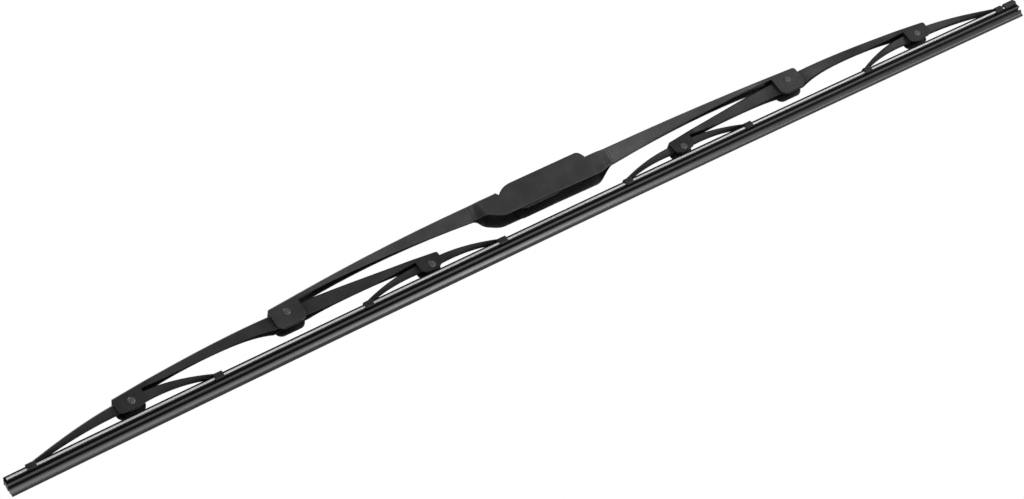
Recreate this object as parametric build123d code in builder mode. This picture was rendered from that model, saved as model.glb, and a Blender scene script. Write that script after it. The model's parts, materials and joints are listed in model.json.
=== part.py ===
from build123d import *
from math import asin, cos, degrees, pi, sin
import os

os.makedirs("parts", exist_ok=True)

# Framed wiper blade, in millimetres.
# X runs along the blade, Y across it, Z away from the glass.
# The origin is the middle of the cross pin that carries the wiper arm.
# Heights are given over the lip edge at mid-blade and turned into Z by up().

blade_length = 650.0
free_bend = 29300.0
pin_height = 27.5

# Sheet, rivets and fits
stations = 9
sheet = 0.9
bend = 0.8
rivet_d = 2.8
rivet_head_d = 4.2
rivet_head = 0.7
rivet_rim = 0.25
rivet_bevel = 0.7
pin_d = 4.0
pin_bevel = 0.3
tight_gap = 0.02
turn_gap = 0.05
side_gap = 0.15
seat_gap = 0.03
cut_over = 1.0
near = 0.01

# Spring rails, heights over the local lip edge
rail_low = 7.5
rail_thick = 1.1
rail_half = 4.0
rail_fit = 0.06
rail_short = 1.0
rail_in_sleeve = 5.5

# Rubber section, half widths and heights over the local lip edge
lip_half = 0.4
lip_root_half = 0.65
lip_root_h = 1.5
flank_half = 2.35
flank_low = 3.1
flank_high = 3.3
neck_half = 0.5
neck_low = 3.45
neck_high = 4.75
ridge_half = 3.25
ridge_low = 4.9
ridge_high = 5.6
head_half = 2.75
head_low = 5.8
slot_half = 1.3
cap_half = 3.6
cap_thick = 0.95
cap_bevel = 0.3

# Pivots and claws, each measured from the one outside it
rubber_overhang = 14.0
outer_arm_out = 57.15
outer_arm_in = 43.85
second_arm_out = 91.2
second_arm_in = 80.75
inner_arm_out = 41.4
inner_arm_in = 41.0
outer_pivot_h = 15.46
main_pivot_h = 23.46
inner_pivot_h = 13.4

# Claws and the sleeve that ends the rails
claw_length = 4.8
claw_sheet = 0.6
claw_gap = 0.2
claw_over = 0.15
claw_tip_gap = 0.35
claw_bevel = 0.5
sleeve_overhang = 9.6
sleeve_length = 8.2
sleeve_gap = 0.05

# Channel widths, from the innermost claw bridge outwards
fold_half = 1.05
claw_body_half = 2.4
claw_root_half = 2.7
claw_cheek = 0.55
second_pivot_half = 2.85
second_arm_half = 3.4
second_cheek = 0.65
arm_half = 4.0
hook_width = 9.3
adapter_cheek = 0.9
adapter_play = 0.2

# Lobes of the main bridge
lobe_reach = 8.6
lobe_under = 7.6
lobe_corner = 4.0
lobe_nose = 1.8
lobe_root = 2.0
lobe_run = 4.0

# Arms of the main bridge
root_depth = 2.4
left_root_h = 30.8
left_crown_h = 35.5
left_neck_x = 47.0
left_neck_depth = 8.1
left_flare_x = 39.0
left_fall_x = 30.0
right_root_h = 30.1
right_crown_h = 32.9
right_neck_x = 42.0
right_neck_depth = 9.2
right_flare_x = 33.0
right_fall_x = 30.0
arm_sag = 2.0
arm_taper = 1.6
arm_open = 2.2

# Middle of the main bridge
window_left = -30.0
window_right = 26.8
notch_x = -28.5
notch_h = 32.3
left_wall_h = 34.4
right_wall_h = 32.0
left_wall_low_h = 20.2
right_wall_low_h = 19.4
ear_top_h = 36.2
ear_rise = 10.0
ear_fall = 4.3

# Secondary bridge
second_outer_tip = 8.6
second_inner_tip = 6.4
second_lobe_back = 7.2
second_lobe_run = 3.0
second_block_over = 1.5
second_over = 3.24
second_out_fall = 0.2
second_in_fall = 0.5
second_tip_out_h = 22.8
second_tip_in_h = 21.1
second_root_low_h = 18.1
second_waist_depth = 5.2
second_tip_out_depth = 3.0
second_tip_in_depth = 2.7
second_out_sag = 2.0
second_in_sag = 1.2
outer_lobe_over = 5.4
inner_lobe_over = 5.9
outer_lobe_under = 4.2
inner_lobe_under = 2.5
claw_lobe_corner = 3.6
claw_lobe_nose = 1.2
claw_lobe_root = 1.4
arm_end = 6.0

# Liners in the pivots
saddle_reach = 7.4
saddle_under = 7.9
saddle_air = 0.71
saddle_web = 0.7
saddle_seat = 0.05
saddle_corner = 3.5
claw_saddle_reach = 5.8
claw_saddle_under = 0.4
claw_saddle_web = 0.45
claw_saddle_corner = 4.2

# Claw bridges
outer_crown_over = 3.4
inner_crown_over = 4.2
crown_run = 5.0
boss_r = 2.5
boss_corner = 2.2
outer_arm_sag = 1.5
claw_arm_sag = 2.0
outer_root_depth = 5.3
inner_root_depth = 4.1
claw_tip_depth = 1.25
claw_tip_over = 0.7

# Hook adapter
hook_inner_r = 4.0
hook_thick = 4.3
adapter_tail = 21.0
tail_corner = 3.0
bar_thick = 2.6
tongue_thick = 1.6
latch_x = -14.0
latch_r = 1.0

# Sizes that follow from those above
claw_1_x = blade_length / 2 - rubber_overhang
outer_pivot_x = claw_1_x - outer_arm_out
claw_2_x = outer_pivot_x - outer_arm_in
main_pivot_x = outer_pivot_x - second_arm_out
inner_pivot_x = main_pivot_x - second_arm_in
claw_3_x = inner_pivot_x + inner_arm_out
claw_4_x = inner_pivot_x - inner_arm_in
sleeve_x = blade_length / 2 - sleeve_overhang
slot_low = rail_low - rail_fit
slot_high = rail_low + rail_thick + rail_fit
cap_top = slot_high + cap_thick
claw_saddle_half = claw_body_half + side_gap + claw_cheek
claw_lobe_half = claw_saddle_half + seat_gap + sheet
saddle_half = second_pivot_half + side_gap + second_cheek
lobe_half = saddle_half + seat_gap + sheet
claw_half = rail_half + claw_gap + claw_sheet
claw_roof_h = cap_top + claw_over + claw_sheet
adapter_half = hook_width / 2 + adapter_cheek
wall_half = adapter_half + adapter_play + sheet
main_end = main_pivot_x + lobe_reach
main_lobe = main_pivot_x - lobe_reach
saddle_over = second_over + saddle_air
lobe_end_h = main_pivot_h + saddle_over + saddle_web + saddle_seat + sheet
lobe_bottom_h = main_pivot_h - lobe_under
second_crown_h = main_pivot_h + second_over
second_root_out_h = second_crown_h - second_out_fall
second_root_in_h = second_crown_h - second_in_fall
second_block_out = main_end + second_block_over
second_block_in = main_lobe - second_block_over
second_outer = -outer_pivot_x - second_outer_tip
second_inner = -inner_pivot_x + second_inner_tip
outer_back = -outer_pivot_x + second_lobe_back
inner_back = -inner_pivot_x - second_lobe_back


def up(height):
    return height - pin_height


def drop(x):
    return (free_bend**2 - x**2) ** 0.5 - free_bend


def side_plane(half):
    """Side view plane at the far face of a piece that is 2 * half wide."""
    return Plane.XZ.offset(-half)


def bent_plane(x):
    """Plane across the rubber at x, square to its free bend."""
    lean = asin(x / free_bend)
    return Plane(
        origin=(x, 0, up(0) + drop(x)),
        x_dir=(0, 1, 0),
        z_dir=(cos(lean), 0, -sin(lean)),
    )


def bend_along(length):
    """Sweeps the open sketch along the free bend of the rubber."""
    bend_axis = Axis((0, 0, up(0) - free_bend), (0, 1, 0))
    revolve(axis=bend_axis, revolution_arc=degrees(length / free_bend))


def mix(start, end, share):
    return start + (end - start) * share


def smooth(share):
    """Smooth step from 0 to 1, level at both ends."""
    return share * share * (3 - 2 * share)


def channel(top, low, top_half, low_half):
    """Section of a pressed channel, its flanges leaning from top_half to low_half."""
    half = [
        (top_half - bend, top),
        (top_half, top - bend),
        (low_half, low),
        (low_half - sheet, low),
        (top_half - sheet, top - sheet),
    ]
    Polyline(*half, *[(-y, z) for y, z in reversed(half)], close=True)


def lobe(tip, back, run, tip_h, root_h, low_h, root_low_h, half, corner, nose, root):
    """Channel with deep flanges round a pivot, from its tip at tip to an arm behind back."""
    ahead = 1 if back > tip else -1
    root_x = back + ahead * run
    with BuildPart() as deep:
        for x, top_h in ((tip, tip_h), (root_x, root_h)):
            with BuildSketch(Plane.YZ.offset(x)):
                with BuildLine():
                    channel(up(top_h), up(low_h), half, half)
                make_face()
        loft(ruled=True)
        with BuildSketch(side_plane(wall_half)):
            with BuildLine():
                Polyline(
                    (tip, up(tip_h) - nose),
                    (tip + ahead * nose, up(tip_h) + nose),
                    (root_x, up(root_h) + nose),
                    (root_x, up(root_low_h)),
                    (back, up(root_low_h)),
                    (back, up(low_h)),
                    (tip, up(low_h)),
                    close=True,
                )
            side = make_face()
            fillet(side.vertices().group_by(Axis.Y)[0], corner)
            inner_corner = (back, 0, up(root_low_h))
            fillet(side.vertices().sort_by_distance(inner_corner)[0], root)
        extrude(amount=2 * wall_half, mode=Mode.INTERSECT)
    return deep.part


def arm(start, end, root_h, tip_h, sag, depths, taper, halves, opening):
    """Lofted channel from start to end, folded nearly shut underneath between its ends.

    depths holds the depth at the root, an extra that dies away behind it, and the tip's.
    halves holds the half widths at the root, along the arm and at the tip.
    """
    root_deep, root_extra, tip_deep = depths
    root_half, run_half, tip_half = halves
    with BuildPart() as part:
        for i in range(stations):
            t = (1 - cos(pi * i / (stations - 1))) / 2
            near_root = (1 - t) ** arm_end
            near_tip = t**opening
            top = up(root_h - (root_h - tip_h) * t**sag)
            depth = mix(tip_deep, root_deep, (1 - t) ** taper) + root_extra * near_root
            top_half = run_half + (root_half - run_half) * near_root + (tip_half - run_half) * near_tip
            low_half = fold_half + (tip_half - fold_half) * near_tip
            if root_half != run_half:
                low_half += (root_half - fold_half) * near_root
            with BuildSketch(Plane.YZ.offset(mix(start, end, t))):
                with BuildLine():
                    channel(top, top - depth, top_half, low_half)
                make_face()
        loft()
    return part.part


# Main bridge: a pressed channel whose web is left out between two ears


def half_bridge(root_h, crown_h, neck_x, neck_depth, flare_x, fall_x, wall_x, wall_h, wall_low_h):
    """Left half of the main bridge: lobe, arm, and the flare that ends at the window."""
    tip_lobe = lobe(
        -main_end,
        -main_lobe,
        lobe_run,
        lobe_end_h,
        root_h,
        lobe_bottom_h,
        root_h - root_depth,
        lobe_half,
        lobe_corner,
        lobe_nose,
        lobe_root,
    )
    long_arm = arm(
        -neck_x,
        -main_lobe + lobe_run,
        crown_h,
        root_h,
        arm_sag,
        (neck_depth, 0, root_depth),
        arm_taper,
        (arm_half, arm_half, lobe_half),
        arm_open,
    )
    with BuildPart() as half:
        for i in range(stations):
            x = mix(-neck_x, -wall_x, i / (stations - 1))
            spread = smooth(min(1, (x + neck_x) / (neck_x - flare_x)))
            top_h = mix(crown_h, wall_h, spread)
            fall = smooth(min(1, (x + neck_x) / (neck_x - fall_x)))
            low_h = mix(crown_h - neck_depth, wall_low_h, fall)
            with BuildSketch(Plane.YZ.offset(x)):
                with BuildLine():
                    channel(
                        up(top_h),
                        up(low_h),
                        mix(arm_half, wall_half, spread),
                        mix(fold_half, wall_half, spread),
                    )
                make_face()
        loft()
        add(long_arm)
        add(tip_lobe)
    return half.part


left_half = half_bridge(
    left_root_h,
    left_crown_h,
    left_neck_x,
    left_neck_depth,
    left_flare_x,
    left_fall_x,
    -window_left,
    left_wall_h,
    left_wall_low_h,
)
right_half = half_bridge(
    right_root_h,
    right_crown_h,
    right_neck_x,
    right_neck_depth,
    right_flare_x,
    right_fall_x,
    window_right,
    right_wall_h,
    right_wall_low_h,
)

with BuildPart() as main_bridge:
    add(left_half)
    mirror(right_half, about=Plane.YZ)
    with BuildSketch(side_plane(wall_half)):
        with BuildLine():
            ear_start = (notch_x + ear_rise, up(ear_top_h))
            ear_end = (window_right - ear_fall, up(ear_top_h))
            Polyline(
                (window_right, up(right_wall_h)),
                (window_right, up(right_wall_low_h)),
                (window_left, up(left_wall_low_h)),
                (window_left, up(left_wall_h)),
                (notch_x, up(notch_h)),
            )
            Spline((notch_x, up(notch_h)), ear_start, tangents=((1, 1), (1, 0)))
            Line(ear_start, ear_end)
            Spline(ear_end, (window_right, up(right_wall_h)), tangents=((1, 0), (0.4, -1)))
        wall = make_face()
    extrude(amount=sheet)
    with BuildSketch(Plane.XZ.offset(wall_half - sheet)):
        add(wall)
    extrude(amount=sheet)
    with Locations(Plane.XZ):
        with Locations((-main_pivot_x, up(main_pivot_h)), (main_pivot_x, up(main_pivot_h))):
            Hole(rivet_d / 2 + tight_gap)
        Hole(pin_d / 2 + tight_gap)


# Secondary bridge: the same kind of channel, carried at the main pivot

second_halves = (second_pivot_half, second_arm_half, claw_lobe_half)
outer_lobe = lobe(
    second_outer,
    outer_back,
    second_lobe_run,
    outer_pivot_h + outer_lobe_over,
    second_tip_out_h,
    outer_pivot_h - outer_lobe_under,
    second_tip_out_h - second_tip_out_depth,
    claw_lobe_half,
    claw_lobe_corner,
    claw_lobe_nose,
    claw_lobe_root,
)
inner_lobe = lobe(
    second_inner,
    inner_back,
    second_lobe_run,
    inner_pivot_h + inner_lobe_over,
    second_tip_in_h,
    inner_pivot_h - inner_lobe_under,
    second_tip_in_h - second_tip_in_depth,
    claw_lobe_half,
    claw_lobe_corner,
    claw_lobe_nose,
    claw_lobe_root,
)
outer_arm = arm(
    -second_block_out,
    outer_back + second_lobe_run,
    second_root_out_h,
    second_tip_out_h,
    second_out_sag,
    (
        second_waist_depth,
        second_root_out_h - second_root_low_h - second_waist_depth,
        second_tip_out_depth,
    ),
    1,
    second_halves,
    arm_end,
)
inner_arm = arm(
    -second_block_in,
    inner_back - second_lobe_run,
    second_root_in_h,
    second_tip_in_h,
    second_in_sag,
    (second_root_in_h - second_root_low_h, 0, second_tip_in_depth),
    1,
    second_halves,
    arm_end,
)

with BuildPart() as secondary_bridge_left:
    for x, top_h in (
        (-second_block_out, second_root_out_h),
        (-main_pivot_x, second_crown_h),
        (-second_block_in, second_root_in_h),
    ):
        with BuildSketch(Plane.YZ.offset(x)):
            with BuildLine():
                channel(up(top_h), up(second_root_low_h), second_pivot_half, second_pivot_half)
            make_face()
    loft(ruled=True)
    add(outer_arm)
    add(inner_arm)
    add(outer_lobe)
    add(inner_lobe)
    with Locations(Plane.XZ):
        with Locations((-main_pivot_x, up(main_pivot_h))):
            Hole(rivet_d / 2 + turn_gap)
        with Locations((-outer_pivot_x, up(outer_pivot_h)), (-inner_pivot_x, up(inner_pivot_h))):
            Hole(rivet_d / 2 + tight_gap)


# Claw bridges: small channels that end in claws round the rubber and the rails


def wrap_section(x, gap, over, tip_gap):
    """C round both rails and the rubber's head at x, open towards the glass."""
    base = up(0) + drop(x)
    inner = rail_half + gap
    outer = inner + claw_sheet
    tip = head_half + tip_gap
    roof = base + cap_top + over
    hook = base + rail_low - gap
    Polyline(
        (0, roof + claw_sheet),
        (outer, roof + claw_sheet),
        (outer, hook - claw_sheet),
        (tip, hook - claw_sheet),
        (tip, hook),
        (inner, hook),
        (inner, roof),
        (0, roof),
    )
    mirror(about=Plane.YZ)


def claw_bridge(claw_out, claw_in, pivot_x, pivot_h, crown_over, root_deep, out_sag):
    """One claw bridge of the left half, from its outer claw to its inner one."""
    crown_h = pivot_h + crown_over
    tip_h = claw_roof_h + claw_tip_over
    depths = (root_deep, 0, claw_tip_depth)
    halves = (claw_body_half, claw_body_half, claw_root_half)
    out_arm = arm(
        -pivot_x - crown_run,
        -claw_out,
        crown_h,
        tip_h + drop(claw_out),
        out_sag,
        depths,
        1,
        halves,
        arm_end,
    )
    in_arm = arm(
        -pivot_x + crown_run,
        -claw_in,
        crown_h,
        tip_h + drop(claw_in),
        claw_arm_sag,
        depths,
        1,
        halves,
        arm_end,
    )
    with BuildPart() as bridge:
        for x in (-pivot_x - crown_run, -pivot_x + crown_run):
            with BuildSketch(Plane.YZ.offset(x)):
                with BuildLine():
                    channel(up(crown_h), up(pivot_h - boss_r), claw_body_half, claw_body_half)
                make_face()
        loft(ruled=True)
        with BuildSketch(side_plane(wall_half)):
            with Locations((-pivot_x, up(pivot_h - boss_r))):
                Rectangle(2 * crown_run, 2 * crown_over + boss_r, align=(Align.CENTER, Align.MIN))
            fillet(vertices().group_by(Axis.Y)[0], boss_corner)
        extrude(amount=2 * wall_half, mode=Mode.INTERSECT)
        add(out_arm)
        add(in_arm)
        for x in (-claw_out, -claw_in):
            with BuildSketch(Plane.YZ.offset(x - claw_length / 2)):
                with BuildLine():
                    wrap_section(x, claw_gap, claw_over, claw_tip_gap)
                claw = make_face()
                rims = claw.vertices().filter_by(lambda v: abs(abs(v.X) - claw_half) < near)
                chamfer(rims, claw_bevel)
            extrude(amount=claw_length)
        with Locations(Plane.XZ):
            with Locations((-pivot_x, up(pivot_h))):
                Hole(rivet_d / 2 + turn_gap)
    return bridge.part


claw_bridge_outer = claw_bridge(
    claw_1_x,
    claw_2_x,
    outer_pivot_x,
    outer_pivot_h,
    outer_crown_over,
    outer_root_depth,
    outer_arm_sag,
)
claw_bridge_inner = claw_bridge(
    claw_3_x,
    claw_4_x,
    inner_pivot_x,
    inner_pivot_h,
    inner_crown_over,
    inner_root_depth,
    claw_arm_sag,
)


# Pivots: a plastic liner and a rivet in each


def saddle(pivot_x, pivot_h, under, over, web, reach, half, cheek, corner):
    """U-shaped liner between two channels, open towards the glass."""
    with BuildPart() as liner:
        with BuildSketch(side_plane(half)):
            with Locations((-pivot_x - reach, up(pivot_h - under))):
                Rectangle(2 * reach, under + over + web, align=Align.MIN)
            fillet(vertices().group_by(Axis.Y)[0], corner)
        extrude(amount=2 * half)
        with BuildSketch(side_plane(half - cheek)):
            with Locations((-pivot_x, up(pivot_h + over))):
                Rectangle(2 * (reach + cut_over), 2 * (under + over), align=(Align.CENTER, Align.MAX))
        extrude(amount=2 * (half - cheek), mode=Mode.SUBTRACT)
        with Locations(Plane.XZ):
            with Locations((-pivot_x, up(pivot_h))):
                Hole(rivet_d / 2 + tight_gap)
    return liner.part


def rivet(pivot_x, pivot_h, half):
    """Rivet with a bevelled head on each outer face of a channel."""
    with BuildPart() as stud:
        with BuildSketch(Plane.XY.offset(up(pivot_h))):
            with BuildLine():
                rim = -pivot_x + rivet_head_d / 2
                shank = -pivot_x + rivet_d / 2
                Polyline(
                    (shank, 0),
                    (shank, half),
                    (rim, half),
                    (rim, half + rivet_rim),
                    (rim - rivet_bevel, half + rivet_head),
                    (-pivot_x, half + rivet_head),
                    (-pivot_x, 0),
                )
                mirror(about=Plane.XZ)
            make_face()
        revolve(axis=Axis((-pivot_x, 0, up(pivot_h)), (0, 1, 0)))
    return stud.part


def claw_saddle(pivot_x, pivot_h, lobe_over_pivot, lobe_under):
    return saddle(
        pivot_x,
        pivot_h,
        lobe_under + claw_saddle_under,
        lobe_over_pivot - sheet - claw_saddle_web,
        claw_saddle_web,
        claw_saddle_reach,
        claw_saddle_half,
        claw_cheek,
        claw_saddle_corner,
    )


secondary_saddle = saddle(
    main_pivot_x,
    main_pivot_h,
    saddle_under,
    saddle_over,
    saddle_web,
    saddle_reach,
    saddle_half,
    second_cheek,
    saddle_corner,
)
secondary_rivet = rivet(main_pivot_x, main_pivot_h, lobe_half)
claw_saddle_outer = claw_saddle(outer_pivot_x, outer_pivot_h, outer_lobe_over, outer_lobe_under)
claw_saddle_inner = claw_saddle(inner_pivot_x, inner_pivot_h, inner_lobe_over, inner_lobe_under)
claw_rivet_outer = rivet(outer_pivot_x, outer_pivot_h, claw_lobe_half)
claw_rivet_inner = rivet(inner_pivot_x, inner_pivot_h, claw_lobe_half)


# Hook adapter on its cross pin

with BuildPart() as adapter_pin:
    with BuildSketch(Plane.XZ.offset(-wall_half)):
        Circle(pin_d / 2)
    extrude(amount=2 * wall_half)
    chamfer(adapter_pin.edges().filter_by(GeomType.CIRCLE), pin_bevel)

with BuildPart() as hook_adapter:
    hook_outer_r = hook_inner_r + hook_thick
    with BuildSketch(side_plane(adapter_half)):
        Circle(hook_outer_r)
        with Locations((-adapter_tail, 0)):
            Rectangle(adapter_tail, 2 * hook_outer_r, align=(Align.MIN, Align.CENTER))
        fillet(vertices().group_by(Axis.X)[0], tail_corner)
    extrude(amount=2 * adapter_half)
    # All between the cheeks is cut away, apart from the nose, the bar and the tongue with its latch
    with BuildSketch(side_plane(hook_width / 2)):
        Rectangle(4 * adapter_tail, 4 * adapter_tail)
        Circle(hook_inner_r, mode=Mode.SUBTRACT)
        with Locations((-adapter_tail, hook_inner_r)):
            Rectangle(adapter_tail, bar_thick, align=(Align.MIN, Align.MAX), mode=Mode.SUBTRACT)
        with Locations((-adapter_tail + tail_corner, -hook_inner_r)):
            Rectangle(adapter_tail - tail_corner, tongue_thick, align=Align.MIN, mode=Mode.SUBTRACT)
        with Locations((latch_x, -hook_inner_r)):
            Circle(latch_r, mode=Mode.SUBTRACT)
    extrude(amount=hook_width, mode=Mode.SUBTRACT)
    with Locations(Plane.XZ):
        Hole(pin_d / 2 + turn_gap)


# Rubber, rails and the sleeve that keeps the rails from sliding out

with BuildPart() as wiper_rubber:
    with BuildSketch(bent_plane(-blade_length / 2)):
        with BuildLine():
            Polyline(
                (0, 0),
                (lip_half, 0),
                (lip_root_half, lip_root_h),
                (flank_half, flank_low),
                (flank_half, flank_high),
                (neck_half, neck_low),
                (neck_half, neck_high),
                (ridge_half, ridge_low),
                (ridge_half, ridge_high),
                (head_half, head_low),
                (head_half, slot_low),
                (slot_half, slot_low),
                (slot_half, slot_high),
                (cap_half, slot_high),
                (cap_half, cap_top),
                (0, cap_top),
            )
            mirror(about=Plane.YZ)
        section = make_face()
        rims = section.vertices().filter_by(lambda v: v.Y > cap_top - near and abs(v.X) > near)
        chamfer(rims, cap_bevel)
    bend_along(blade_length)

rail_length = blade_length - rail_short - sleeve_overhang + rail_in_sleeve

with BuildPart() as rail_front:
    with BuildSketch(bent_plane(-blade_length / 2 + rail_short)):
        with Locations((-slot_half - rail_fit, rail_low)):
            Rectangle(rail_half - slot_half - rail_fit, rail_thick, align=(Align.MAX, Align.MIN))
    bend_along(rail_length)

with BuildPart() as rail_rear:
    mirror(rail_front.part, about=Plane.XZ)

with BuildPart() as rail_end_sleeve:
    with BuildSketch(Plane.YZ.offset(sleeve_x)):
        with BuildLine():
            wrap_section(sleeve_x + sleeve_length / 2, sleeve_gap, sleeve_gap, sleeve_gap)
        make_face()
    extrude(amount=sleeve_length)


def mirrored(piece):
    """The right-hand twin of a left-hand piece."""
    with BuildPart() as twin:
        mirror(piece, about=Plane.YZ)
    return twin.part


pieces = {
    "main_bridge": main_bridge.part,
    "hook_adapter": hook_adapter.part,
    "adapter_pin": adapter_pin.part,
    "wiper_rubber": wiper_rubber.part,
    "rail_front": rail_front.part,
    "rail_rear": rail_rear.part,
    "rail_end_sleeve": rail_end_sleeve.part,
}
handed = {
    "secondary_bridge": secondary_bridge_left.part,
    "secondary_saddle": secondary_saddle,
    "secondary_rivet": secondary_rivet,
    "claw_bridge_outer": claw_bridge_outer,
    "claw_bridge_inner": claw_bridge_inner,
    "claw_saddle_outer": claw_saddle_outer,
    "claw_saddle_inner": claw_saddle_inner,
    "claw_rivet_outer": claw_rivet_outer,
    "claw_rivet_inner": claw_rivet_inner,
}
for name, piece in handed.items():
    pieces[f"{name}_left"] = piece
    pieces[f"{name}_right"] = mirrored(piece)

for name, piece in pieces.items():
    piece.label = name
    export_step(piece, f"parts/{name}.step")
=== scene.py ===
import json
import math
import bmesh
import bpy
from mathutils import Matrix, Vector


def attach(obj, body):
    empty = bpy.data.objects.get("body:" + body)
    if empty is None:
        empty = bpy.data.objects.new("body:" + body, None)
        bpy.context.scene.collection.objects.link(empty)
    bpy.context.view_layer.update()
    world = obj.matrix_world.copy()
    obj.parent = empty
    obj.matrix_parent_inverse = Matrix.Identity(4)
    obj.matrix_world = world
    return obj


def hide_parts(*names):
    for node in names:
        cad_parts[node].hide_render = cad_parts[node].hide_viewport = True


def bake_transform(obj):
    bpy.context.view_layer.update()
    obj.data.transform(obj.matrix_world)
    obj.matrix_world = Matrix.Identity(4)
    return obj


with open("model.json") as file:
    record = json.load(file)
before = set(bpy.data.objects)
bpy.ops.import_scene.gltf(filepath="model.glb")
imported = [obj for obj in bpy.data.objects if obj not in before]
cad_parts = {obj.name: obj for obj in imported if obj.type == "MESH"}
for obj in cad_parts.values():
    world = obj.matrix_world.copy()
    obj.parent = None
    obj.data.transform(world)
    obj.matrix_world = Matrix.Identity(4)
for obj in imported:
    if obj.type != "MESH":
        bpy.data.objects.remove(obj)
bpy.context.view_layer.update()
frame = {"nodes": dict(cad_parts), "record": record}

# Lengths are in millimetres up to where a mesh, a material or the camera is made.
# X runs along the blade, Y across it, Z away from the glass, from the middle of the cross pin.
MM = 0.001
PIN_HEIGHT = 27.5
FREE_BEND = 29300.0

# Rubber section: half widths, and heights over the lip edge
LIP_HALF = 0.4
LIP_ROOT_HALF = 0.65
LIP_ROOT = 1.5
FLANK_HALF = 2.35
FLANK_LOW = 3.1
FLANK_HIGH = 3.3
NECK_HALF = 0.5
NECK_LOW = 3.45
NECK_HIGH = 4.75
RIDGE_HALF = 3.25
RIDGE_LOW = 4.9
RIDGE_HIGH = 5.6
HEAD_HALF = 2.75
HEAD_LOW = 5.8
SLOT_HALF = 1.3
SLOT_LOW = 7.44
SLOT_HIGH = 8.66
CAP_HALF = 3.6
CAP_TOP = 9.61
RUBBER_ROUND = 0.16
RUBBER_START = -325.0
RUBBER_END = 324.98

# Spring rails
RAIL_IN = 1.36
RAIL_OUT = 4.0
RAIL_LOW = 7.5
RAIL_HIGH = 8.6
RAIL_START = -324.0
RAIL_END = 320.9
RAIL_ROUND = 0.2

# Where the spans of rubber and rail meet, and where they pass from one bridge to the next.
# The middle spans pass from the secondary bridge towards the main bridge and lie level at mid-blade.
SPAN_JOINT = 171.06
OUTER_HOLD = 206.0
OUTER_LEAVE = 81.8
INNER_HOLD = 126.3
INNER_LEAVE = 272.3
MIDDLE_JOINT = 41.5
MIDDLE_HOLD = 131.73
MIDDLE_LEAVE = -211.8

# The gaps keep the spans from running together at the joints' limits, and the tongues fill the gaps.
SPAN_GAP = 0.8
SPAN_TONGUE = 2.0
INNER_GAP = 0.2
INNER_TONGUE = 0.8
MIDDLE_GAP = 1.7
MIDDLE_TONGUE = 4.4
TONGUE_SLACK = 0.985
INNER_BEGIN = SPAN_JOINT - SPAN_GAP
MIDDLE_BEGIN = MIDDLE_JOINT - INNER_GAP
MIDDLE_END = MIDDLE_GAP / 2

# Fineness of the meshes
SPAN_STEP = 4.0
CORNER_STEPS = 4
CORNER_SHARE = 0.4
SHARP_ANGLE = math.radians(50)


# Rubber and rails


def skin_over(form, loops):
    """Joins a row of loops with faces and closes its two ends."""
    for near, far in zip(loops, loops[1:]):
        for i in range(len(near)):
            form.faces.new((near[i - 1], near[i], far[i], far[i - 1]))
    form.faces.new(loops[0])
    form.faces.new(loops[-1])
    bmesh.ops.recalc_face_normals(form, faces=form.faces)


def add_piece(name, form):
    """An object of the scene, made from the form."""
    mesh = bpy.data.meshes.new(name)
    form.to_mesh(mesh)
    form.free()
    piece = bpy.data.objects.new(name, mesh)
    bpy.context.scene.collection.objects.link(piece)
    return piece


def rounded(corners, radius):
    """The closed outline through the corners, each one turned into a small arc."""
    outline = []
    count = len(corners)
    for i in range(count):
        here = Vector(corners[i])
        before = Vector(corners[i - 1]) - here
        after = Vector(corners[(i + 1) % count]) - here
        reach = min(radius, CORNER_SHARE * before.length, CORNER_SHARE * after.length)
        start = here + before.normalized() * reach
        end = here + after.normalized() * reach
        for step in range(CORNER_STEPS + 1):
            t = step / CORNER_STEPS
            outline.append(start * (1 - t) ** 2 + here * 2 * t * (1 - t) + end * t**2)
    return outline


def on_bend(x, y, height):
    """The place of a section point, carried square to the free bend at x."""
    lean = math.asin(x / FREE_BEND)
    reach = FREE_BEND + height
    return Vector((reach * math.sin(lean), y, reach * math.cos(lean) - FREE_BEND - PIN_HEIGHT)) * MM


def shrunk(outline):
    """The outline drawn in a little towards its middle."""
    middle = sum(outline, Vector((0, 0))) / len(outline)
    return [middle + (point - middle) * TONGUE_SLACK for point in outline]


def sweep(name, outline, start, end, tongue):
    """Closed mesh of the outline along the bend, with a slim tongue of the given length past its end."""
    count = max(2, round(abs(end - start) / SPAN_STEP))
    rings = [(start + (end - start) * i / count, outline) for i in range(count + 1)]
    if tongue:
        ahead = math.copysign(tongue, end - start)
        rings += [(end, shrunk(outline)), (end + ahead, shrunk(outline))]
    form = bmesh.new()
    over_lip = form.verts.layers.float.new("over_lip")
    loops = []
    for x, points in rings:
        loop = []
        for point in points:
            vert = form.verts.new(on_bend(x, point.x, point.y))
            vert[over_lip] = point.y
            loop.append(vert)
        loops.append(loop)
    skin_over(form, loops)
    for face in form.faces:
        face.smooth = len(face.verts) == 4
    piece = add_piece(name, form)
    piece.data.set_sharp_from_angle(angle=SHARP_ANGLE)
    return piece


def spans(name, node, outline, start, end):
    """One piece of rubber or rail in six spans, made along the bend in place of its node, which is hidden.
    """
    made = []
    for side, sign, tip, lap in (("left", -1, -start, MIDDLE_TONGUE), ("right", 1, end, 0.0)):
        second = f"secondary_{side}"
        outer = f"claw_outer_{side}"
        inner = f"claw_inner_{side}"
        for place, first, last, hold, leave, begin, stop, tongue in (
            ("outer", outer, second, OUTER_HOLD, OUTER_LEAVE, tip, SPAN_JOINT, SPAN_TONGUE),
            ("inner", inner, second, INNER_HOLD, INNER_LEAVE, INNER_BEGIN, MIDDLE_JOINT, INNER_TONGUE),
            ("middle", second, "main", MIDDLE_HOLD, MIDDLE_LEAVE, MIDDLE_BEGIN, MIDDLE_END, lap),
        ):
            piece = sweep(f"{name}_{place}_{side}", outline, sign * begin, sign * stop, tongue)
            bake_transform(piece)
            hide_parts(node)
            made.append(piece)
    return made


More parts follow.
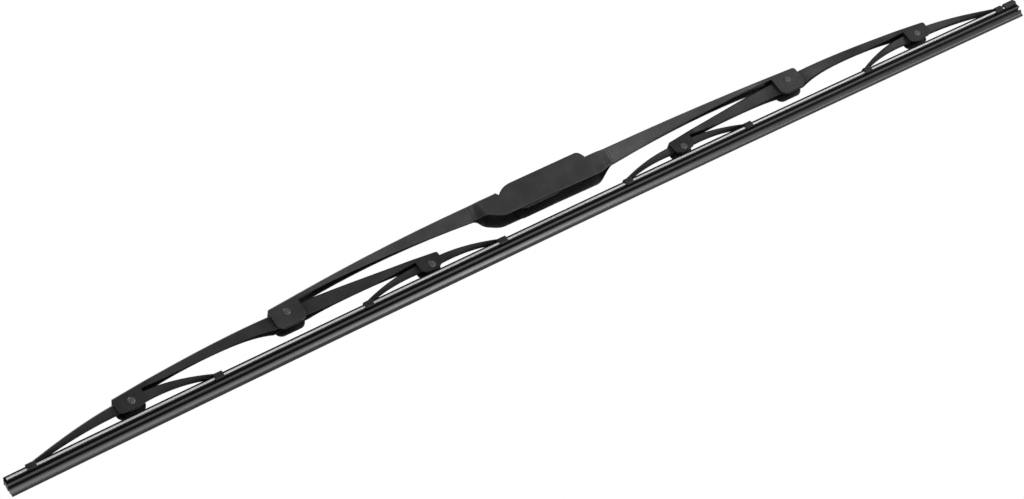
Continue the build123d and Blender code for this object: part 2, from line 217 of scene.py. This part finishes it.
half_rubber = [
    (LIP_HALF, 0),
    (LIP_ROOT_HALF, LIP_ROOT),
    (FLANK_HALF, FLANK_LOW),
    (FLANK_HALF, FLANK_HIGH),
    (NECK_HALF, NECK_LOW),
    (NECK_HALF, NECK_HIGH),
    (RIDGE_HALF, RIDGE_LOW),
    (RIDGE_HALF, RIDGE_HIGH),
    (HEAD_HALF, HEAD_LOW),
    (HEAD_HALF, SLOT_LOW),
    (SLOT_HALF, SLOT_LOW),
    (SLOT_HALF, SLOT_HIGH),
    (CAP_HALF, SLOT_HIGH),
    (CAP_HALF, CAP_TOP),
]
rubber_outline = rounded(half_rubber + [(-y, z) for y, z in reversed(half_rubber)], RUBBER_ROUND)
rubber = spans("rubber", "wiper_rubber", rubber_outline, RUBBER_START, RUBBER_END)

rails = []
for node, sign in (("rail_front", -1), ("rail_rear", 1)):
    strip = [
        (sign * RAIL_IN, RAIL_LOW),
        (sign * RAIL_OUT, RAIL_LOW),
        (sign * RAIL_OUT, RAIL_HIGH),
        (sign * RAIL_IN, RAIL_HIGH),
    ]
    rails += spans(node, node, rounded(strip, RAIL_ROUND), RAIL_START, RAIL_END)


# Skin of paint over the flush ends of the cross pin

WALL_FACE = 6.65
SKIN_RADIUS = 3.2
SKIN_BEVEL = 0.1
SKIN_ROOT = 0.05
SKIN_PROUD = 0.012
SKIN_SIDES = 64


def pin_skin(name, sign):
    """A closed, thin disc of paint on one wall of the housing."""
    turns = [2 * math.pi * i / SKIN_SIDES for i in range(SKIN_SIDES)]
    form = bmesh.new()
    loops = []
    for radius, y in (
        (SKIN_RADIUS, WALL_FACE - SKIN_ROOT),
        (SKIN_RADIUS, WALL_FACE),
        (SKIN_RADIUS - SKIN_BEVEL, WALL_FACE + SKIN_PROUD),
    ):
        places = [Vector((radius * math.cos(a), sign * y, radius * math.sin(a))) for a in turns]
        loops.append([form.verts.new(place * MM) for place in places])
    skin_over(form, loops)
    skin = add_piece(name, form)
    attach(skin, "main")
    return skin


skins = [pin_skin("pin_paint_front", -1), pin_skin("pin_paint_rear", 1)]


# Shader building blocks

# The span of a noise texture's values that the finishes use
NOISE_LOW = 0.3
NOISE_HIGH = 0.7

# Sockets of the Mix node, told apart by number because they share their names
MIX_VECTOR_A = 4
MIX_VECTOR_B = 5
MIX_VECTOR_OUT = 1
MIX_COLOUR_A = 6
MIX_COLOUR_B = 7
MIX_COLOUR_OUT = 2

# How far the rounded normal turns from the face, as a cosine, where an edge begins and where it is full
EDGE_BEGINS = 0.99
EDGE_FULL = 0.75
EDGE_SAMPLES = 6

# Round the cross pin the paint shows no edges up to a radius, and all of them from a little over it
PIN_PAINT = 3.4
PIN_PAINT_FADE = 1.1


def link(tree, source, target):
    tree.links.new(source, target)


def grey(level):
    """A grey with a slight blue cast."""
    return (level, level, level * 1.03)


def plain(level):
    return (level, level, level)


def noise(tree, place, scale, detail):
    """Noise with the given number of cells to the metre, where the place isn't stretched."""
    node = tree.nodes.new("ShaderNodeTexNoise")
    node.inputs["Scale"].default_value = scale
    node.inputs["Detail"].default_value = detail
    link(tree, place, node.inputs["Vector"])
    return node.outputs[0]


def between(tree, source, low, high, to_low, to_high):
    """The source carried from one range to another, and held at its ends."""
    node = tree.nodes.new("ShaderNodeMapRange")
    node.inputs["From Min"].default_value = low
    node.inputs["From Max"].default_value = high
    node.inputs["To Min"].default_value = to_low
    node.inputs["To Max"].default_value = to_high
    link(tree, source, node.inputs["Value"])
    return node.outputs["Result"]


def spread(tree, source, to_low, to_high):
    """Noise carried to a range."""
    return between(tree, source, NOISE_LOW, NOISE_HIGH, to_low, to_high)


def maths(tree, operation, a, b):
    node = tree.nodes.new("ShaderNodeMath")
    node.operation = operation
    link(tree, a, node.inputs[0])
    link(tree, b, node.inputs[1])
    return node.outputs[0]


def ramp(tree, source, stops):
    """Colours by value, from stops of a value and a colour each."""
    node = tree.nodes.new("ShaderNodeValToRGB")
    while len(node.color_ramp.elements) < len(stops):
        node.color_ramp.elements.new(0.5)
    for element, (place, colour) in zip(node.color_ramp.elements, stops):
        element.position = place
        element.color = (*colour, 1)
    link(tree, source, node.inputs["Fac"])
    return node.outputs["Color"]


def bumps(tree, normal, layers):
    """Adds relief layers, each a height source and a depth in millimetres, to a normal."""
    for source, depth in layers:
        node = tree.nodes.new("ShaderNodeBump")
        node.inputs["Strength"].default_value = 1.0
        node.inputs["Distance"].default_value = depth * MM
        link(tree, source, node.inputs["Height"])
        if normal is not None:
            link(tree, normal, node.inputs["Normal"])
        normal = node.outputs["Normal"]
    return normal


def new_material(name, metal, shine, stretch=(1, 1, 1)):
    """A new material, its tree, its shader and its place in space."""
    made = bpy.data.materials.new(name)
    made.use_nodes = True
    tree = made.node_tree
    shader = tree.nodes["Principled BSDF"]
    shader.inputs["Metallic"].default_value = metal
    shader.inputs["Specular IOR Level"].default_value = shine
    where = tree.nodes.new("ShaderNodeTexCoord")
    mapping = tree.nodes.new("ShaderNodeMapping")
    mapping.inputs["Scale"].default_value = stretch
    link(tree, where.outputs["Object"], mapping.inputs["Vector"])
    return made, tree, shader, mapping.outputs["Vector"]


def finish_surface(tree, shader, colour, rough, normal):
    """Gives the shader its colour, roughness and normal."""
    link(tree, colour, shader.inputs["Base Color"])
    link(tree, rough, shader.inputs["Roughness"])
    link(tree, normal, shader.inputs["Normal"])


def soft_edges(tree, radius):
    """Normal with rounded edges, and a mask that is 1 on edges and 0 on faces."""
    bevel = tree.nodes.new("ShaderNodeBevel")
    bevel.samples = EDGE_SAMPLES
    bevel.inputs["Radius"].default_value = radius * MM
    face = tree.nodes.new("ShaderNodeNewGeometry")
    facing = tree.nodes.new("ShaderNodeVectorMath")
    facing.operation = "DOT_PRODUCT"
    link(tree, bevel.outputs["Normal"], facing.inputs[0])
    link(tree, face.outputs["Normal"], facing.inputs[1])
    return bevel.outputs["Normal"], between(tree, facing.outputs["Value"], EDGE_BEGINS, EDGE_FULL, 0.0, 1.0)


def off_the_pin(tree, place):
    """0 over the flush, painted ends of the cross pin and 1 elsewhere."""
    across = tree.nodes.new("ShaderNodeVectorMath")
    across.operation = "MULTIPLY"
    across.inputs[1].default_value = (1, 0, 1)
    link(tree, place, across.inputs[0])
    reach = tree.nodes.new("ShaderNodeVectorMath")
    reach.operation = "LENGTH"
    link(tree, across.outputs["Vector"], reach.inputs[0])
    radius = PIN_PAINT * MM
    return between(tree, reach.outputs["Value"], radius, PIN_PAINT_FADE * radius, 0.0, 1.0)


def edge_tone(tree, cloud, edge, tones, share):
    """Three tones: the first two drift with a cloud of noise, and the last one is a paler tone painted on
    edges as a highlight.
    """
    drift = spread(tree, cloud, 0.0, share)
    lift = between(tree, edge, 0, 1, 0.0, 1 - share)
    return ramp(tree, maths(tree, "ADD", drift, lift), tuple(zip((0.0, share, 1.0), map(grey, tones))))


# Finishes

# Heights over the lip edge where the matte lip ends and where the glossy flank begins to fade
LIP_MATTE = 0.8
FLANK_FADES = 2.2

# Shine of the rubber
RUBBER_MATTE = 0.02
FLANK_GLOSS = 0.25


def painted(name, tones, rough, shine, peel):
    """Satin coat on pressed steel: slow drift in tone, orange peel, rounded edges, and paler edges painted
    on as a highlight.
    """
    made, tree, shader, place = new_material(name, metal=0.0, shine=shine)
    edge_normal, edge = soft_edges(tree, 0.6)
    off_pin = off_the_pin(tree, place)
    flush = tree.nodes.new("ShaderNodeMix")
    flush.data_type = "VECTOR"
    link(tree, off_pin, flush.inputs["Factor"])
    link(tree, tree.nodes.new("ShaderNodeNewGeometry").outputs["Normal"], flush.inputs[MIX_VECTOR_A])
    link(tree, edge_normal, flush.inputs[MIX_VECTOR_B])
    # Painted highlight: edges are lifted to a paler tone, broken up by noise and kept off the pin ends.
    highlight_patchiness = between(tree, noise(tree, place, 400, detail=4), 0.35, 0.65, 0.3, 1.0)
    painted_edge_highlight = maths(tree, "MULTIPLY", maths(tree, "MULTIPLY", edge, off_pin), highlight_patchiness)
    relief = (
        (noise(tree, place, 700, detail=2), peel),
        (noise(tree, place, 4000, detail=2), 0.2 * peel),
    )
    finish_surface(
        tree,
        shader,
        edge_tone(tree, noise(tree, place, 90, detail=5), painted_edge_highlight, tones, 0.6),
        spread(tree, noise(tree, place, 1500, detail=3), *rough),
        bumps(tree, flush.outputs[MIX_VECTOR_OUT], relief),
    )
    return made


def rivet_finish():
    """Black zinc on a rivet: half metal, mottled, with rounded rims painted paler as a highlight."""
    made, tree, shader, place = new_material("rivet_metal", metal=0.35, shine=0.25)
    edge_normal, edge = soft_edges(tree, 0.35)
    mottle = noise(tree, place, 1200, detail=6)
    finish_surface(
        tree,
        shader,
        edge_tone(tree, mottle, edge, (0.012, 0.032, 0.07), 0.6),
        spread(tree, mottle, 0.3, 0.45),
        bumps(tree, edge_normal, ((noise(tree, place, 3000, detail=3), 0.012),)),
    )
    return made


def steel_finish():
    """Rolled strip: fine lines along its length."""
    made, tree, shader, place = new_material("spring_steel", metal=1.0, shine=0.5, stretch=(6, 900, 900))
    lines = noise(tree, place, 4.0, detail=6)
    finish_surface(
        tree,
        shader,
        ramp(tree, lines, ((NOISE_LOW, plain(0.13)), (0.5, plain(0.19)), (NOISE_HIGH, plain(0.28)))),
        spread(tree, lines, 0.45, 0.6),
        bumps(tree, None, ((lines, 0.006),)),
    )
    return made


def rubber_finish():
    """Black moulded rubber: matte lip and head, a glossy flank, painted shade in the hinge groove and a
    painted highlight on the ridge.
    """
    made, tree, shader, place = new_material(
        "wiper_rubber", metal=0.0, shine=RUBBER_MATTE, stretch=(0.15, 1, 1)
    )
    over_lip = tree.nodes.new("ShaderNodeAttribute")
    over_lip.attribute_name = "over_lip"
    height = between(tree, over_lip.outputs["Fac"], 0, CAP_TOP, 0.0, 1.0)

    def by_height(*levels):
        return ramp(tree, height, [(over / CAP_TOP, grey(level)) for over, level in levels])

    # Tones by height: the hinge groove is darkened as painted shade, and the ridge is made paler as a
    # painted highlight.
    height_bands_with_painted_light = by_height(
        (FLANK_FADES, 0.015),
        (FLANK_LOW, 0.012),
        (FLANK_HIGH, 0.008),
        (NECK_LOW, 0.001),
        (NECK_HIGH, 0.006),
        (RIDGE_LOW, 0.04),
        (RIDGE_HIGH, 0.02),
        (HEAD_LOW, 0.002),
    )
    gloss = by_height(
        (LIP_MATTE, RUBBER_MATTE),
        (LIP_ROOT, FLANK_GLOSS),
        (FLANK_FADES, FLANK_GLOSS),
        (FLANK_LOW, RUBBER_MATTE),
    )
    link(tree, gloss, shader.inputs["Specular IOR Level"])
    streaks = noise(tree, place, 500, detail=4)
    tint = tree.nodes.new("ShaderNodeMix")
    tint.data_type = "RGBA"
    tint.blend_type = "MULTIPLY"
    tint.inputs["Factor"].default_value = 1.0
    link(tree, height_bands_with_painted_light, tint.inputs[MIX_COLOUR_A])
    link(
        tree,
        ramp(tree, streaks, ((NOISE_LOW, grey(0.75)), (NOISE_HIGH, plain(1)))),
        tint.inputs[MIX_COLOUR_B],
    )
    finish_surface(
        tree,
        shader,
        tint.outputs[MIX_COLOUR_OUT],
        spread(tree, streaks, 0.28, 0.36),
        bumps(tree, None, ((noise(tree, place, 2500, detail=3), 0.02),)),
    )
    return made


def plastic_finish():
    """Moulded black plastic with a fine spark grain, and edges painted paler as a highlight."""
    made, tree, shader, place = new_material("black_plastic", metal=0.0, shine=0.12)
    edge_normal, edge = soft_edges(tree, 0.2)
    grain = noise(tree, place, 2200, detail=2)
    finish_surface(
        tree,
        shader,
        edge_tone(tree, noise(tree, place, 250, detail=4), edge, (0.004, 0.007, 0.015), 0.7),
        spread(tree, grain, 0.5, 0.65),
        bumps(tree, edge_normal, ((grain, 0.03),)),
    )
    return made


finishes = {
    "black_paint": painted(
        "black_paint", tones=(0.005, 0.011, 0.03), rough=(0.36, 0.48), shine=0.14, peel=0.02
    ),
    "yoke_paint": painted(
        "yoke_paint", tones=(0.004, 0.009, 0.025), rough=(0.4, 0.52), shine=0.07, peel=0.025
    ),
    "rivet_metal": rivet_finish(),
    "spring_steel": steel_finish(),
    "wiper_rubber": rubber_finish(),
    "black_plastic": plastic_finish(),
}


def dress(piece, finish):
    piece.data.materials.clear()
    piece.data.materials.append(finish)


for part in frame["record"]["subparts"]:
    is_yoke = part["node"].startswith(("secondary_bridge", "claw_bridge"))
    dress(frame["nodes"][part["node"]], finishes["yoke_paint" if is_yoke else part["material_slot"]])
for piece in rubber:
    dress(piece, finishes["wiper_rubber"])
for piece in rails:
    dress(piece, finishes["spring_steel"])
for piece in skins:
    dress(piece, finishes["black_paint"])


# Floor, light and background: lengths in metres, power in watts

FLOOR_DROP = 0.85
FLOOR_HALF = 15.0
FLOOR_CELLS = 8
WORLD_SEEN = 1.0
WORLD_DIFFUSE = 0.6


def add_floor():
    """Pale floor far below the blade."""
    form = bmesh.new()
    bmesh.ops.create_grid(form, x_segments=FLOOR_CELLS, y_segments=FLOOR_CELLS, size=FLOOR_HALF)
    floor = add_piece("floor", form)
    floor.location = (0, 0, -FLOOR_DROP)
    made, tree, shader, place = new_material("floor", metal=0.0, shine=0.2)
    paper = noise(tree, place, 30, detail=4)
    link(
        tree,
        ramp(tree, paper, ((NOISE_LOW, plain(0.88)), (NOISE_HIGH, plain(0.9)))),
        shader.inputs["Base Color"],
    )
    shader.inputs["Roughness"].default_value = 0.9
    dress(floor, made)


def add_softbox(name, place, target, size, power):
    """A round lamp that the camera doesn't see."""
    data = bpy.data.lights.new(name, "AREA")
    data.shape = "DISK"
    data.size = size
    data.energy = power
    lamp = bpy.data.objects.new(name, data)
    lamp.location = place
    lamp.rotation_euler = (Vector(target) - Vector(place)).to_track_quat("-Z", "Y").to_euler()
    lamp.visible_camera = False
    bpy.context.scene.collection.objects.link(lamp)


def add_world():
    """White all round, and dimmer where it only lights matte surfaces."""
    world = bpy.data.worlds.new("studio")
    world.use_nodes = True
    tree = world.node_tree
    background = tree.nodes["Background"]
    background.inputs["Color"].default_value = (1, 1, 1, 1)
    path = tree.nodes.new("ShaderNodeLightPath")
    seen = maths(tree, "MAXIMUM", path.outputs["Is Camera Ray"], path.outputs["Is Glossy Ray"])
    seen = maths(tree, "MAXIMUM", seen, path.outputs["Is Transmission Ray"])
    link(tree, between(tree, seen, 0, 1, WORLD_DIFFUSE, WORLD_SEEN), background.inputs["Strength"])
    bpy.context.scene.world = world


add_floor()
add_softbox("key", (0.72, -0.76, -0.12), (0.1, 0, 0), size=0.65, power=13.0)
add_softbox("low", (-0.15, -0.4, -0.75), (-0.1, 0, 0), size=0.5, power=4.5)
add_softbox("under", (0.28, -0.28, -0.75), (-0.06, 0, -0.025), size=0.3, power=5.5)
add_softbox("fill", (-0.27, -1.0, 0.03), (-0.05, 0, 0), size=0.4, power=7.0)
add_softbox("overhead", (-0.3, 0.3, 1.6), (0, 0, 0), size=1.4, power=30.0)
add_world()


# Camera, fitted to the photograph

PHOTO_WIDTH = 1024
FOCAL_PX = 2100.0
SENSOR_MM = 36.0
VIEW_RISE = math.radians(-22.559)
VIEW_TURN = math.radians(25.454)
VIEW_ROLL = math.radians(-35.717)
VIEW_DISTANCE = 1119.82
VIEW_RIGHT = 33.083
VIEW_UP = 12.499
CLIP_START = 50.0


def add_camera():
    """Camera that has the middle of the lip edge at the given distance ahead, to the right and upwards."""
    level_right = Vector((math.cos(VIEW_TURN), -math.sin(VIEW_TURN), 0))
    level_ahead = Vector((math.sin(VIEW_TURN), math.cos(VIEW_TURN), 0))
    ahead = level_ahead * math.cos(VIEW_RISE) + Vector((0, 0, -math.sin(VIEW_RISE)))
    upward = level_ahead * math.sin(VIEW_RISE) + Vector((0, 0, math.cos(VIEW_RISE)))
    right = level_right * math.cos(VIEW_ROLL) + upward * math.sin(VIEW_ROLL)
    top = -level_right * math.sin(VIEW_ROLL) + upward * math.cos(VIEW_ROLL)
    place = -VIEW_RIGHT * right - VIEW_UP * top - VIEW_DISTANCE * ahead - Vector((0, 0, PIN_HEIGHT))
    data = bpy.data.cameras.new("camera")
    data.sensor_fit = "HORIZONTAL"
    data.sensor_width = SENSOR_MM
    data.lens = FOCAL_PX * SENSOR_MM / PHOTO_WIDTH
    data.clip_start = CLIP_START * MM
    camera = bpy.data.objects.new("camera", data)
    axes = Matrix((right, top, -ahead)).transposed().to_4x4()
    camera.matrix_world = Matrix.Translation(place * MM) @ axes
    bpy.context.scene.collection.objects.link(camera)
    bpy.context.scene.camera = camera


add_camera()
bpy.context.scene.view_settings.view_transform = "Standard"
